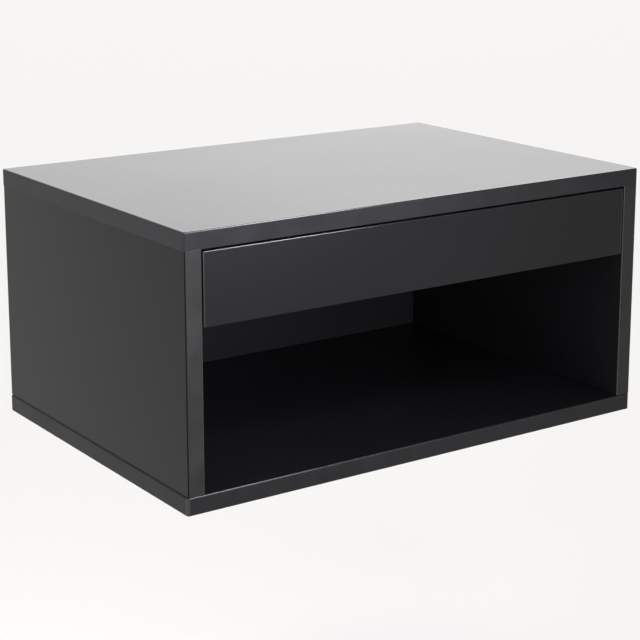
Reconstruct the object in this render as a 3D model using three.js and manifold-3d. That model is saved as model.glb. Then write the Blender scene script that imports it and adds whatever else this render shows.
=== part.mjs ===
// Floating nightstand: a wall-hung bedside cabinet of lacquered board, with one
// flush drawer on telescopic ball slides above an open shelf.
//
// Millimetres. +Z up, the front faces -Y, +X is to the right of someone who
// faces the front. The origin is the middle of the rear face, which lies on
// the wall.

import * as THREE from 'three';
import { mergeVertices } from 'three/addons/utils/BufferGeometryUtils.js';
import Module from 'manifold-3d';

const wasm = await Module();
wasm.setup();

// ---------------------------------------------------------------- dimensions

const WIDTH = 500;             // over the top panel
const DEPTH = 340;             // front face to wall
const HEIGHT = 240;            // underside to top
const BOARD = 16;              // every carcass board and the drawer front
const EASE = 1.25;             // eased edge on a board
const PLAN_R = 2.5;            // plan corner of the top and bottom panels
const SIDE_INSET = 1;          // side panels set in from the top panel's ends

const FRONT_Y = -DEPTH;
const TOP_Z = HEIGHT / 2;
const IN_X = WIDTH / 2 - SIDE_INSET - BOARD;     // inner face of a side panel
const IN_Z = HEIGHT / 2 - BOARD;                 // inner face of top and bottom
const BACK_IN_Y = -BOARD;                        // inner face of the back panel

const FRONT_GAP = 1.25;        // drawer front to side panel
const FRONT_TOP_GAP = 1.75;    // drawer front to top panel
const FRONT_HEIGHT = 64;       // drawer front
const FRONT_TOP = IN_Z - FRONT_TOP_GAP;
const FRONT_BOTTOM = FRONT_TOP - FRONT_HEIGHT;
const FRONT_REAR_Y = FRONT_Y + BOARD;

// drawer box
const BOX_X = 220;             // outer face of a drawer side
const BOX_BOARD = 12;
const BOX_IN_X = BOX_X - BOX_BOARD;
const BOX_FRONT_Y = FRONT_REAR_Y;
const BOX_BACK_Y = BOX_FRONT_Y + 300;
const BOX_LOW = 43;            // underside of the drawer sides
const BOX_TOP = 97;
const BOX_FRONT_LOW = 52;      // higher than the sides: room for fingers
const BASE_LOW = 57;           // drawer bottom, in its grooves
const BASE_T = 3;
const GROOVE_DEEP = 5;
const GROOVE_PLAY = 0.3;

// telescopic slide, 35 x 12.7 mm section, 300 mm long
const SLIDE_LONG = 300;
const SLIDE_Z = 54;
const SLIDE_FRONT_Y = FRONT_REAR_Y + 2;
const STEEL = 1.2;
const RAIL_PLAY = 0.15;        // rail to board
const RAIL_TAIL = 10;          // middle and drawer rails stop short: a bumper is behind them
const CAGE_LONG = 140;
const CAGE_FRONT_Y = SLIDE_FRONT_Y + 80;
const BALLS = 4;               // in each row of a cage

// fittings
const CAM_R = 7.3;
const CAM_BORE_R = 7.6;
const CAM_DEEP = 12.3;
const CAM_BORE_DEEP = 12.8;
const CAM_FROM_END = 24;
const CAM_Y = [FRONT_Y + 37, -53];
const BOLT_X = IN_X + BOARD / 2;
const DOWEL_R = 4;
const DOWEL_Y = -178;
const BACK_DOWEL_Z = 60;
const WALL_HOLE_R = 3.5;       // clearance for a 6 mm wall screw
const WALL_HOLE_X = [-200, -80, 80, 200];
const WALL_HOLE_Z = 82;
const RAIL_SCREW_Y = [-290, -60];

// ------------------------------------------------------------------ finishes

const finish = (color, roughness, metalness) => () =>
  new THREE.MeshStandardMaterial({ color, roughness, metalness });
const lacquer = finish(0x232425, 0.35, 0);
const boxBoard = finish(0x2b2c2d, 0.55, 0);
const zinc = finish(0xb9bcc0, 0.35, 1);
const bolt = finish(0x9da0a3, 0.4, 1);
const camZinc = finish(0xa6a8a6, 0.5, 1);
const beech = finish(0xc9a678, 0.8, 0);
const rubber = finish(0x1a1a1b, 0.8, 0);
const cagePlastic = finish(0x8f9397, 0.4, 0.8);
const screwBlack = finish(0x3a3b3d, 0.4, 1);

// ------------------------------------------------------------- solid helpers

// a geometry's vertices, on a grid fine enough to keep boards that touch exact
function toSolid(geometry) {
  const g = geometry.clone();
  g.deleteAttribute('normal');
  g.deleteAttribute('uv');
  const p = g.attributes.position;
  for (let i = 0; i < p.array.length; i += 1) p.array[i] = Math.round(p.array[i] * 1024) / 1024;
  const m = mergeVertices(g, 1e-4);
  const keep = [];
  const idx = m.index.array;
  for (let i = 0; i < idx.length; i += 3) {
    if (idx[i] !== idx[i + 1] && idx[i + 1] !== idx[i + 2] && idx[i] !== idx[i + 2]) {
      keep.push(idx[i], idx[i + 1], idx[i + 2]);
    }
  }
  return new wasm.Manifold(new wasm.Mesh({
    numProp: 3,
    vertProperties: Float32Array.from(m.attributes.position.array),
    triVerts: Uint32Array.from(keep),
  }));
}

function toGeometry(solid) {
  const mesh = solid.getMesh();
  const g = new THREE.BufferGeometry();
  g.setAttribute('position', new THREE.BufferAttribute(Float32Array.from(mesh.vertProperties), 3));
  g.setIndex(new THREE.BufferAttribute(Uint32Array.from(mesh.triVerts), 1));
  g.computeVertexNormals();
  return g;
}

function cut(base, tools) {
  let s = base;
  for (const t of tools) s = s.subtract(t);
  return s;
}

// an axis-aligned block between two corners
function block(lo, hi) {
  const g = new THREE.BoxGeometry(hi[0] - lo[0], hi[1] - lo[1], hi[2] - lo[2]);
  g.translate((lo[0] + hi[0]) / 2, (lo[1] + hi[1]) / 2, (lo[2] + hi[2]) / 2);
  return toSolid(g);
}

// turn a geometry made along +Z so that it lies along another axis
function alongAxis(g, axis) {
  if (axis === 'x') g.rotateY(Math.PI / 2);
  if (axis === 'y') g.rotateX(-Math.PI / 2);
  return g;
}

// a round rod along an axis, from a to b on that axis, at the given centre
function rod(axis, r, a, b, at, sides = 20) {
  const lo = Math.min(a, b);
  const hi = Math.max(a, b);
  const g = new THREE.CylinderGeometry(r, r, hi - lo, sides);
  g.rotateX(Math.PI / 2);
  g.translate(0, 0, (lo + hi) / 2);
  alongAxis(g, axis);
  const [p, q] = at;
  if (axis === 'x') g.translate(0, p, q);
  if (axis === 'y') g.translate(p, 0, q);
  if (axis === 'z') g.translate(p, q, 0);
  return toSolid(g);
}

// a turned piece: a profile of [radius, height] pairs, closed on its axis,
// laid along an axis; dir is the way the profile's height runs
function turned(profile, axis, dir, at, sides = 16) {
  const g = new THREE.LatheGeometry(profile.map(([r, h]) => new THREE.Vector2(r, h)), sides);
  g.rotateX(Math.PI / 2);                          // height now along +Z
  if (dir < 0) g.rotateX(Math.PI);
  alongAxis(g, axis);
  g.translate(at[0], at[1], at[2]);
  let s = toSolid(g);
  if (s.volume() < 0) {
    const idx = g.index.array;
    for (let i = 0; i < idx.length; i += 3) [idx[i + 1], idx[i + 2]] = [idx[i + 2], idx[i + 1]];
    s = toSolid(g);
  }
  return s;
}

// an eased board: a rounded outline given a thickness, with rounded edges.
// axis is the board's thin direction
function board(lo, hi, axis, ease = EASE, cornerR = EASE, steps = 2) {
  const k = { x: 0, y: 1, z: 2 }[axis];
  const [i, j] = { x: [1, 2], y: [0, 2], z: [0, 1] }[axis];
  const a0 = lo[i] + ease;
  const a1 = hi[i] - ease;
  const b0 = lo[j] + ease;
  const b1 = hi[j] - ease;
  const r = Math.max(cornerR - ease, 0.25);
  const s = new THREE.Shape();
  s.moveTo(a0 + r, b0);
  s.lineTo(a1 - r, b0);
  s.absarc(a1 - r, b0 + r, r, -Math.PI / 2, 0, false);
  s.lineTo(a1, b1 - r);
  s.absarc(a1 - r, b1 - r, r, 0, Math.PI / 2, false);
  s.lineTo(a0 + r, b1);
  s.absarc(a0 + r, b1 - r, r, Math.PI / 2, Math.PI, false);
  s.lineTo(a0, b0 + r);
  s.absarc(a0 + r, b0 + r, r, Math.PI, Math.PI * 1.5, false);
  const g = new THREE.ExtrudeGeometry(s, {
    depth: hi[k] - lo[k] - 2 * ease,
    bevelEnabled: true,
    bevelThickness: ease,
    bevelSize: ease,
    bevelOffset: 0,
    bevelSegments: steps,
    curveSegments: steps,
  });
  g.translate(0, 0, lo[k] + ease);
  // (a, b, c) becomes (b-axis order) without a mirror
  if (axis === 'x') g.applyMatrix4(new THREE.Matrix4().makeBasis(
    new THREE.Vector3(0, 1, 0), new THREE.Vector3(0, 0, 1), new THREE.Vector3(1, 0, 0)));
  if (axis === 'y') {
    // x stays, the outline's second axis becomes z, the thickness runs along y
    g.translate(0, 0, -(lo[k] + hi[k]));
    g.applyMatrix4(new THREE.Matrix4().makeBasis(
      new THREE.Vector3(1, 0, 0), new THREE.Vector3(0, 0, 1), new THREE.Vector3(0, -1, 0)));
  }
  return toSolid(g);
}

// a channel rolled from strip: a centre line of [u, z] points, given a
// thickness, and run along Y from y0 to y1. u is measured from the side
// panel's inner face towards the drawer; side is -1 on the left, 1 on the right
function strip(line, t, y0, y1, side, z0) {
  const left = [];
  const right = [];
  const n = line.length;
  for (let i = 0; i < n; i += 1) {
    const a = line[Math.max(i - 1, 0)];
    const b = line[i];
    const c = line[Math.min(i + 1, n - 1)];
    const d1 = new THREE.Vector2(b[0] - a[0], b[1] - a[1]);
    const d2 = new THREE.Vector2(c[0] - b[0], c[1] - b[1]);
    if (i === 0) d1.copy(d2);
    if (i === n - 1) d2.copy(d1);
    d1.normalize();
    d2.normalize();
    const nx = -(d1.y + d2.y);
    const nz = d1.x + d2.x;
    const len = Math.hypot(nx, nz);
    const miter = (t / 2) / Math.max(Math.sqrt((1 + d1.dot(d2)) / 2), 0.3);
    left.push([b[0] + (nx / len) * miter, b[1] + (nz / len) * miter]);
    right.push([b[0] - (nx / len) * miter, b[1] - (nz / len) * miter]);
  }
  const outline = [...left, ...right.reverse()];
  const s = new THREE.Shape(outline.map(([u, z]) => new THREE.Vector2(side * (IN_X - u), z + z0)));
  const g = new THREE.ExtrudeGeometry(s, { depth: y1 - y0, bevelEnabled: false, steps: 1 });
  g.rotateX(Math.PI / 2);                          // outline in XZ, run along -Y
  g.translate(0, y1, 0);
  return toSolid(g);
}

// points on an arc in the strip's plane
function arc(cu, cz, r, from, to, steps) {
  const pts = [];
  for (let i = 0; i <= steps; i += 1) {
    const a = THREE.MathUtils.degToRad(from + ((to - from) * i) / steps);
    pts.push([cu + r * Math.cos(a), cz + r * Math.sin(a)]);
  }
  return pts;
}

const nightstand = new THREE.Group();
nightstand.name = 'floating_nightstand';
const groups = {};

function add(group, name, solid, material) {
  if (!groups[group]) {
    groups[group] = new THREE.Group();
    groups[group].name = group;
    nightstand.add(groups[group]);
  }
  const mesh = new THREE.Mesh(toGeometry(solid), material());
  mesh.name = name;
  groups[group].add(mesh);
  return mesh;
}

const SIDES = [['left', -1], ['right', 1]];
const ENDS = [['top', 1], ['bottom', -1]];
const PLACES = ['front', 'rear'];

// ------------------------------------------------------------------- carcass

// holes in the top (end 1) panel for the bolts and dowels, and in the bottom
// (end -1) panel for the dowels and for screws put in from below
function panelHoles(end) {
  const tools = [];
  for (const [, s] of SIDES) {
    for (const y of CAM_Y) {
      if (end > 0) {
        tools.push(rod('z', 3.1, IN_Z - 1, IN_Z + 12, [s * BOLT_X, y], 12));
      } else {
        tools.push(turned([[0, -1], [5.9, -1], [5.9, 0], [3.9, 2.4], [3.9, BOARD + 1], [0, BOARD + 1]],
          'z', 1, [s * BOLT_X, y, -TOP_Z], 12));
      }
    }
    tools.push(rod('z', DOWEL_R + 0.3, end * (IN_Z - 1), end * (IN_Z + 10.5), [s * BOLT_X, DOWEL_Y], 12));
  }
  return tools;
}

add('carcass', 'top_panel', cut(
  board([-WIDTH / 2, FRONT_Y, IN_Z], [WIDTH / 2, 0, TOP_Z], 'z', EASE, PLAN_R),
  panelHoles(1)), lacquer);
add('carcass', 'bottom_panel', cut(
  board([-WIDTH / 2, FRONT_Y, -TOP_Z], [WIDTH / 2, 0, -IN_Z], 'z', EASE, PLAN_R),
  panelHoles(-1)), lacquer);

for (const [name, s] of SIDES) {
  const x0 = Math.min(s * IN_X, s * (IN_X + BOARD));
  const x1 = Math.max(s * IN_X, s * (IN_X + BOARD));
  const tools = [];
  for (const [, e] of ENDS) {
    for (const y of CAM_Y) {
      if (e > 0) {
        tools.push(rod('x', CAM_BORE_R, s * (IN_X - 1), s * (IN_X + CAM_BORE_DEEP), [y, IN_Z - CAM_FROM_END], 16));
        tools.push(rod('z', 4, IN_Z + 1, IN_Z - CAM_FROM_END + 3, [s * BOLT_X, y], 12));
      } else {
        tools.push(rod('z', 2.85, -IN_Z - 1, -IN_Z + 35, [s * BOLT_X, y], 10));
      }
    }
    tools.push(rod('z', DOWEL_R + 0.3, e * (IN_Z + 1), e * (IN_Z - 20.5), [s * BOLT_X, DOWEL_Y], 12));
    tools.push(rod('x', DOWEL_R + 0.3, s * (IN_X - 1), s * (IN_X + 10.5), [-BOARD / 2, e * BACK_DOWEL_Z], 12));
  }
  for (const y of RAIL_SCREW_Y) tools.push(rod('x', 2.05, s * (IN_X - 1), s * (IN_X + 12), [y, SLIDE_Z], 8));
  add('carcass', `${name}_side_panel`, cut(
    board([x0, FRONT_Y, -IN_Z], [x1, 0, IN_Z], 'x'), tools), lacquer);
}

{
  const tools = [];
  for (const [, s] of SIDES) {
    for (const [, e] of ENDS) {
      tools.push(rod('x', DOWEL_R + 0.3, s * (IN_X + 1), s * (IN_X - 20.5), [-BOARD / 2, e * BACK_DOWEL_Z], 12));
    }
  }
  for (const x of WALL_HOLE_X) tools.push(rod('y', WALL_HOLE_R, BACK_IN_Y - 1, 1, [x, WALL_HOLE_Z], 16));
  add('carcass', 'back_panel', cut(
    board([-IN_X, BACK_IN_Y, -IN_Z], [IN_X, 0, IN_Z], 'y', 0.5, 0.75, 1), tools), lacquer);
}

// ------------------------------------------------------------------ fittings

const DOWEL_PROFILE = (long) => [
  [0, 0], [DOWEL_R - 1, 0], [DOWEL_R, 1.2], [DOWEL_R, long - 1.2], [DOWEL_R - 1, long], [0, long],
];

for (const [sideName, s] of SIDES) {
  const z = IN_Z - CAM_FROM_END;
  const cx = s * BOLT_X;
  const faceX = s * (IN_X + 0.2);
  CAM_Y.forEach((y, k) => {
    const tag = `${sideName}_${PLACES[k]}`;

    // bolt: thread in the top panel, shank, neck and head in the lock
    add('fittings', `cam_bolt_${tag}`, turned([
      [0, 0], [1.4, 0], [2.75, 1.4], [2.75, 11.6], [3.4, 11.6],
      [3.4, 24.6], [1.8, 25.6], [1.8, 32.0], [3.1, 33.0],
      [3.1, 34.6], [1.9, 35.8], [0, 35.8],
    ], 'z', -1, [cx, y, IN_Z + 11.4], 10), bolt);

    // lock: a disc with a chamber for the bolt's head, a slot for its neck,
    // a mouth at the side that lets the head in, and a cross recess
    const lockDisc = turned([
      [0, 0], [CAM_R - 0.3, 0], [CAM_R, 0.3], [CAM_R, CAM_DEEP], [0, CAM_DEEP],
    ], 'x', s, [faceX, y, z], 16);
    const near = Math.min(faceX - s, faceX + s * 3.2);
    const far = Math.max(faceX - s, faceX + s * 3.2);
    add('fittings', `cam_lock_${tag}`, cut(lockDisc, [
      block([cx - 2.3, y - 2.3, z], [cx + 2.3, y + 2.3, z + CAM_R + 1]),
      block([cx - 3.5, y - 3.5, z - 3.6], [cx + 3.5, y + 3.5, z + 4.4]),
      block([cx - 3.5, y, z - 3.5], [cx + 3.5, y + CAM_R + 1, z + 3.5]),
      block([near, y - 0.8, z - 3.4], [far, y + 0.8, z + 3.4]),
      block([near, y - 3.4, z - 0.8], [far, y + 3.4, z + 0.8]),
    ]), camZinc);

    // base screw: from below, countersunk flush, with a hexagon socket
    const base = turned([
      [0, 0], [5.1, 0], [5.1, 0.3], [3.45, 2.4], [3.45, 15.1],
      [2.45, 15.6], [2.45, 48], [0, 50],
    ], 'z', 1, [cx, y, -TOP_Z + 0.2], 12);
    add('fittings', `base_screw_${tag}`, cut(base, [rod('z', 2.3, -TOP_Z - 1, -TOP_Z + 3.4, [cx, y], 6)]), bolt);
  });
  for (const [endName, e] of ENDS) {
    add('fittings', `side_dowel_${sideName}_${endName}`,
      turned(DOWEL_PROFILE(29), 'z', -e, [cx, DOWEL_Y, e * (IN_Z + 9.8)], 10), beech);
    add('fittings', `back_dowel_${sideName}_${endName === 'top' ? 'upper' : 'lower'}`,
      turned(DOWEL_PROFILE(29), 'x', -s, [s * (IN_X + 9.8), -BOARD / 2, e * BACK_DOWEL_Z], 10), beech);
  }
}

// -------------------------------------------------------------------- drawer

add('drawer', 'drawer_front', cut(
  board([-(IN_X - FRONT_GAP), FRONT_Y, FRONT_BOTTOM], [IN_X - FRONT_GAP, FRONT_REAR_Y, FRONT_TOP], 'y', 1, 1.25),
  [-120, 120].map((x) => rod('y', 2.0, FRONT_REAR_Y + 1, FRONT_REAR_Y - 10.6, [x, 78], 8))), lacquer);

for (const [name, s] of SIDES) {
  const x0 = Math.min(s * BOX_IN_X, s * BOX_X);
  const x1 = Math.max(s * BOX_IN_X, s * BOX_X);
  const g0 = Math.min(s * (BOX_IN_X - 1), s * (BOX_IN_X + GROOVE_DEEP));
  const g1 = Math.max(s * (BOX_IN_X - 1), s * (BOX_IN_X + GROOVE_DEEP));
  const tools = [block([g0, BOX_FRONT_Y - 1, BASE_LOW - GROOVE_PLAY], [g1, BOX_BACK_Y + 1, BASE_LOW + BASE_T + GROOVE_PLAY])];
  for (const y of RAIL_SCREW_Y) tools.push(rod('x', 2.05, s * (BOX_X + 1), s * (BOX_X - 10.8), [y, SLIDE_Z], 8));
  add('drawer', `drawer_${name}_side`, cut(
    board([x0, BOX_FRONT_Y, BOX_LOW], [x1, BOX_BACK_Y, BOX_TOP], 'x', 0.75, 1, 1), tools), boxBoard);
}
add('drawer', 'drawer_inner_front', cut(
  board([-BOX_IN_X, BOX_FRONT_Y, BOX_FRONT_LOW], [BOX_IN_X, BOX_FRONT_Y + BOX_BOARD, BOX_TOP], 'y', 0.75, 1, 1), [
    block([-BOX_IN_X - 1, BOX_FRONT_Y + BOX_BOARD - GROOVE_DEEP, BASE_LOW - GROOVE_PLAY],
      [BOX_IN_X + 1, BOX_FRONT_Y + BOX_BOARD + 1, BASE_LOW + BASE_T + GROOVE_PLAY]),
    ...[-120, 120].map((x) => rod('y', 2.3, BOX_FRONT_Y - 1, BOX_FRONT_Y + BOX_BOARD + 1, [x, 78], 10)),
  ]), boxBoard);
add('drawer', 'drawer_back',
  board([-BOX_IN_X, BOX_BACK_Y - BOX_BOARD, BASE_LOW + BASE_T + GROOVE_PLAY], [BOX_IN_X, BOX_BACK_Y, BOX_TOP], 'y', 0.75, 1, 1), boxBoard);
add('drawer', 'drawer_bottom',
  block([-(BOX_IN_X + GROOVE_DEEP - 0.3), BOX_FRONT_Y + BOX_BOARD - GROOVE_DEEP + 0.3, BASE_LOW],
    [BOX_IN_X + GROOVE_DEEP - 0.3, BOX_BACK_Y - 0.25, BASE_LOW + BASE_T]), boxBoard);

// a pan-head screw with a cross recess; it points along dir on the axis
function panScrew(axis, dir, seat, shankR, shankLong, headR, headHigh) {
  const s = turned([
    [0, -headHigh], [headR * 0.6, -headHigh], [headR, -headHigh * 0.5],
    [headR, 0], [shankR, 0], [shankR, shankLong - 2.2], [0, shankLong],
  ], axis, dir, seat, 10);
  const k = { x: 0, y: 1, z: 2 }[axis];
  const arms = [0, 1].map((n) => {
    const lo = [...seat];
    const hi = [...seat];
    const others = [0, 1, 2].filter((i) => i !== k);
    others.forEach((i, m) => {
      const h = m === n ? headR * 0.5 : 0.4;
      lo[i] -= h;
      hi[i] += h;
    });
    const a = seat[k] - dir * (headHigh + 0.5);
    const b = seat[k] - dir * headHigh * 0.25;
    lo[k] = Math.min(a, b);
    hi[k] = Math.max(a, b);
    return block(lo, hi);
  });
  return cut(s, arms);
}

[['left', -120], ['right', 120]].forEach(([name, x]) => {
  add('drawer', `drawer_front_screw_${name}`,
    panScrew('y', -1, [x, BOX_FRONT_Y + BOX_BOARD + 0.05, 78], 1.7, 22, 4, 2.4), screwBlack);
});

// -------------------------------------------------------------------- slides

// centre lines of the three rails and two cages, from the lower lip round the
// web to the upper lip
const mirrorZ = (pts) => [...pts.map(([u, z]) => [u, -z])].reverse();

const OUT_U = RAIL_PLAY + STEEL / 2;
const outerTop = [
  ...arc(OUT_U + 1.5, 16.9 - 1.5, 1.5, 180, 90, 2),
  ...arc(10.3 - 1.5, 16.9 - 1.5, 1.5, 90, 0, 2),
  [10.3, 14.3],
];
const outerLine = [...mirrorZ(outerTop), ...outerTop];

const MID_U = 3.2;
const midTop = [
  ...arc(MID_U + 1.3, 12.2 - 1.3, 1.3, 180, 90, 2),
  ...arc(9.4 - 1.1, 12.2 - 1.1, 1.1, 90, 20, 2),
];
const midLine = [...mirrorZ(midTop), ...midTop];

const INN_U = 13 - RAIL_PLAY - STEEL / 2;
const innerTop = [
  ...arc(INN_U - 1.4, 7.8 - 1.4, 1.4, 0, 90, 2),
  ...arc(5.5 + 0.9, 7.8 - 0.9, 0.9, 90, 150, 2),
];
const innerLine = [...mirrorZ(innerTop), ...innerTop];

// a cage: a bent strip that holds a row of balls along each edge
function cage(side, line, t, ballU, ballZ, ballR) {
  let s = strip(line, t, CAGE_FRONT_Y, CAGE_FRONT_Y + CAGE_LONG, side, SLIDE_Z);
  for (const e of [1, -1]) {
    for (let k = 0; k < BALLS; k += 1) {
      const g = new THREE.SphereGeometry(ballR, 6, 4);
      g.rotateX(Math.PI / 2);
      g.translate(side * (IN_X - ballU), CAGE_FRONT_Y + 10 + k * ((CAGE_LONG - 20) / (BALLS - 1)), SLIDE_Z + e * ballZ);
      s = s.add(toSolid(g));
    }
  }
  return s;
}

for (const [name, s] of SIDES) {
  const y0 = SLIDE_FRONT_Y;
  const y1 = SLIDE_FRONT_Y + SLIDE_LONG;
  const tail = y1 - RAIL_TAIL;
  const X = (u) => s * (IN_X - u);

  // cabinet rail: countersunk screw holes, and slots for adjusting
  const outer = strip(outerLine, STEEL, y0, y1, s, SLIDE_Z);
  const outerHoles = RAIL_SCREW_Y.map((y) => turned(
    [[0, -1], [4.3, -1], [4.3, 0], [2.3, 1.35], [2.3, 3], [0, 3]], 'x', s, [X(RAIL_PLAY + STEEL), y, SLIDE_Z], 10));
  for (const y of [-245, -120]) {
    outerHoles.push(block([Math.min(X(-1), X(2)), y - 6, SLIDE_Z - 2.2], [Math.max(X(-1), X(2)), y + 6, SLIDE_Z + 2.2]));
  }
  add('slides', `${name}_slide_cabinet_rail`, cut(outer, outerHoles), zinc);

  // middle rail, with round access holes
  const middle = strip(midLine, STEEL, y0, tail, s, SLIDE_Z);
  add('slides', `${name}_slide_middle_rail`, cut(middle, [-290, -230, -100].map((y) =>
    rod('x', 4.5, X(1.8), X(4.6), [y, SLIDE_Z], 12))), zinc);

  // drawer rail
  const inner = strip(innerLine, STEEL, y0, tail, s, SLIDE_Z);
  const innerHoles = RAIL_SCREW_Y.map((y) => rod('x', 2.2, X(10), X(14), [y, SLIDE_Z], 8));
  for (const y of [-250, -190, -120]) {
    innerHoles.push(block([Math.min(X(10), X(14)), y - 7, SLIDE_Z - 2.2], [Math.max(X(10), X(14)), y + 7, SLIDE_Z + 2.2]));
  }
  add('slides', `${name}_slide_drawer_rail`, cut(inner, innerHoles), zinc);

  // cages
  const cageA = [...arc(2.0 + 0.9, 14.55 - 0.9, 0.9, 180, 90, 2), [8.6, 14.55]];
  add('slides', `${name}_slide_outer_ball_cage`,
    cage(s, [...mirrorZ(cageA), ...cageA], 0.4, 6.2, 14.55, 1.55), cagePlastic);
  const cageB = [...arc(4.35 + 0.8, 10.0 - 0.8, 0.8, 180, 90, 2), [8.6, 10.0]];
  add('slides', `${name}_slide_inner_ball_cage`,
    cage(s, [...mirrorZ(cageB), ...cageB], 0.4, 6.9, 10.0, 1.35), cagePlastic);

  // bumper: a rubber block in the cabinet rail's rear end, notched for the
  // drawer rail's tail
  add('slides', `${name}_slide_bumper`, cut(
    block([Math.min(X(1.6), X(9.6)), tail + 0.5, SLIDE_Z - 12.5], [Math.max(X(1.6), X(9.6)), y1 - 1, SLIDE_Z + 12.5]),
    [block([Math.min(X(4.4), X(10)), tail, SLIDE_Z - 4], [Math.max(X(4.4), X(10)), tail + 4, SLIDE_Z + 4])]), rubber);

  // screws
  RAIL_SCREW_Y.forEach((y, k) => {
    // countersunk, flush in the cabinet rail
    const csk = turned([
      [0, 0], [3.6, 0], [3.6, 0.2], [1.75, 1.2], [1.75, 10.2], [0, 12.2],
    ], 'x', s, [X(RAIL_PLAY + STEEL - 0.1), y, SLIDE_Z], 10);
    const fx = X(RAIL_PLAY + STEEL - 0.1);
    add('slides', `${name}_cabinet_rail_screw_${PLACES[k]}`, cut(csk, [
      block([Math.min(fx - s, fx + s * 0.7), y - 0.4, SLIDE_Z - 1.7], [Math.max(fx - s, fx + s * 0.7), y + 0.4, SLIDE_Z + 1.7]),
      block([Math.min(fx - s, fx + s * 0.7), y - 1.7, SLIDE_Z - 0.4], [Math.max(fx - s, fx + s * 0.7), y + 1.7, SLIDE_Z + 0.4]),
    ]), bolt);
    add('slides', `${name}_drawer_rail_screw_${PLACES[k]}`,
      panScrew('x', -s, [X(INN_U - STEEL / 2 - 0.05), y, SLIDE_Z], 1.75, 11.6, 3.5, 1.9), bolt);
  });
}

export default nightstand;
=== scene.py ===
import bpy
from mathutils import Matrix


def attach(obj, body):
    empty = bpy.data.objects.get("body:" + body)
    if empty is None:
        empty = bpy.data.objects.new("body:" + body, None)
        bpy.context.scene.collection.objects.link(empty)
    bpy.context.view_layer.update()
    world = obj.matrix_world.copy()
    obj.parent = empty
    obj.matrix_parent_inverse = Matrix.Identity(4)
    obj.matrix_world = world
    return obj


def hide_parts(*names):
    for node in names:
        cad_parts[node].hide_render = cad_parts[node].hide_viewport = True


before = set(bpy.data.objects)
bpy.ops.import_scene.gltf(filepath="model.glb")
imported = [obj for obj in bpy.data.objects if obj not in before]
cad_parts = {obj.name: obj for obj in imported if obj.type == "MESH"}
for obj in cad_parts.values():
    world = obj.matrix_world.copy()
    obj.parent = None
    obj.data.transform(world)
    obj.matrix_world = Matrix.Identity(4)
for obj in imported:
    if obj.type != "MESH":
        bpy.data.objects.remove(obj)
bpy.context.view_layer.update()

# Floating nightstand: the looks. Lengths below are in millimetres, in the row
# frame (origin in the middle of the rear face, front towards -Y, +Z up), and
# become metres where a mesh is made.

import math

import bmesh
import bpy
from mathutils import Matrix, Vector

MM = 0.001
SCENE = bpy.context.scene

# ------------------------------------------------------------------ dimensions

W, D, H = 500.0, 340.0, 240.0
BOARD = 16.0
EASE = 1.25
CRISP = 0.2
PLAN_R = 2.6
IN_X = 233.0
IN_Z = 104.0
FRONT_Y = -340.0
FRONT_REAR_Y = -324.0
FRONT_X = IN_X - 1.25
FRONT_TOP = IN_Z - 1.75
FRONT_LOW = FRONT_TOP - 64.0
BOX_X, BOX_IN_X = 220.0, 208.0
BOX_F, BOX_B = -324.0, -24.0
BOX_LOW, BOX_TOP = 43.0, 97.0
BASE_LOW, BASE_T = 57.0, 3.0
SLIDE_Z = 54.0
SLIDE_Y0, SLIDE_Y1, SLIDE_TAIL = -322.0, -22.0, -32.0
STEEL = 1.2
CAGE_Y0, CAGE_Y1 = -242.0, -102.0
CAM_Y = (-303.0, -53.0)
CAM_Z = 80.0
BOLT_X = 241.0
DOWEL_Y = -178.0
BACK_DOWEL_Z = 60.0
WALL_X = (-200.0, -80.0, 80.0, 200.0)
WALL_Z = 82.0
SCREW_Y = (-290.0, -60.0)
SIDES = (("left", -1), ("right", 1))
PLACES = ("front", "rear")


# ------------------------------------------------------------------- materials

def new_material(name):
    m = bpy.data.materials.new(name)
    m.use_nodes = True
    nt = m.node_tree
    b = nt.nodes["Principled BSDF"]
    return m, nt, b


def node(nt, kind, **values):
    n = nt.nodes.new(kind)
    for k, v in values.items():
        setattr(n, k, v)
    return n


def noise(nt, vec, scale, detail=3.0, rough=0.5, distort=0.0):
    n = node(nt, "ShaderNodeTexNoise")
    n.inputs["Scale"].default_value = scale
    n.inputs["Detail"].default_value = detail
    n.inputs["Roughness"].default_value = rough
    n.inputs["Distortion"].default_value = distort
    nt.links.new(vec, n.inputs["Vector"])
    return n.outputs["Fac"]


def ramp(nt, fac, lo, hi, out_lo, out_hi):
    n = node(nt, "ShaderNodeMapRange")
    n.inputs["From Min"].default_value = lo
    n.inputs["From Max"].default_value = hi
    n.inputs["To Min"].default_value = out_lo
    n.inputs["To Max"].default_value = out_hi
    nt.links.new(fac, n.inputs["Value"])
    return n.outputs["Result"]


def mix_colour(nt, fac, a, b):
    n = node(nt, "ShaderNodeMix", data_type="RGBA")
    n.inputs[6].default_value = (*a, 1.0)
    n.inputs[7].default_value = (*b, 1.0)
    nt.links.new(fac, n.inputs[0])
    return n.outputs[2]


def coords(nt, stretch=(1.0, 1.0, 1.0)):
    tc = node(nt, "ShaderNodeTexCoord")
    mp = node(nt, "ShaderNodeMapping")
    mp.inputs["Scale"].default_value = stretch
    nt.links.new(tc.outputs["Object"], mp.inputs["Vector"])
    return mp.outputs["Vector"]


def bump(nt, b, height, distance, strength):
    n = node(nt, "ShaderNodeBump")
    n.inputs["Distance"].default_value = distance
    n.inputs["Strength"].default_value = strength
    nt.links.new(height, n.inputs["Height"])
    nt.links.new(n.outputs["Normal"], b.inputs["Normal"])


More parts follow.
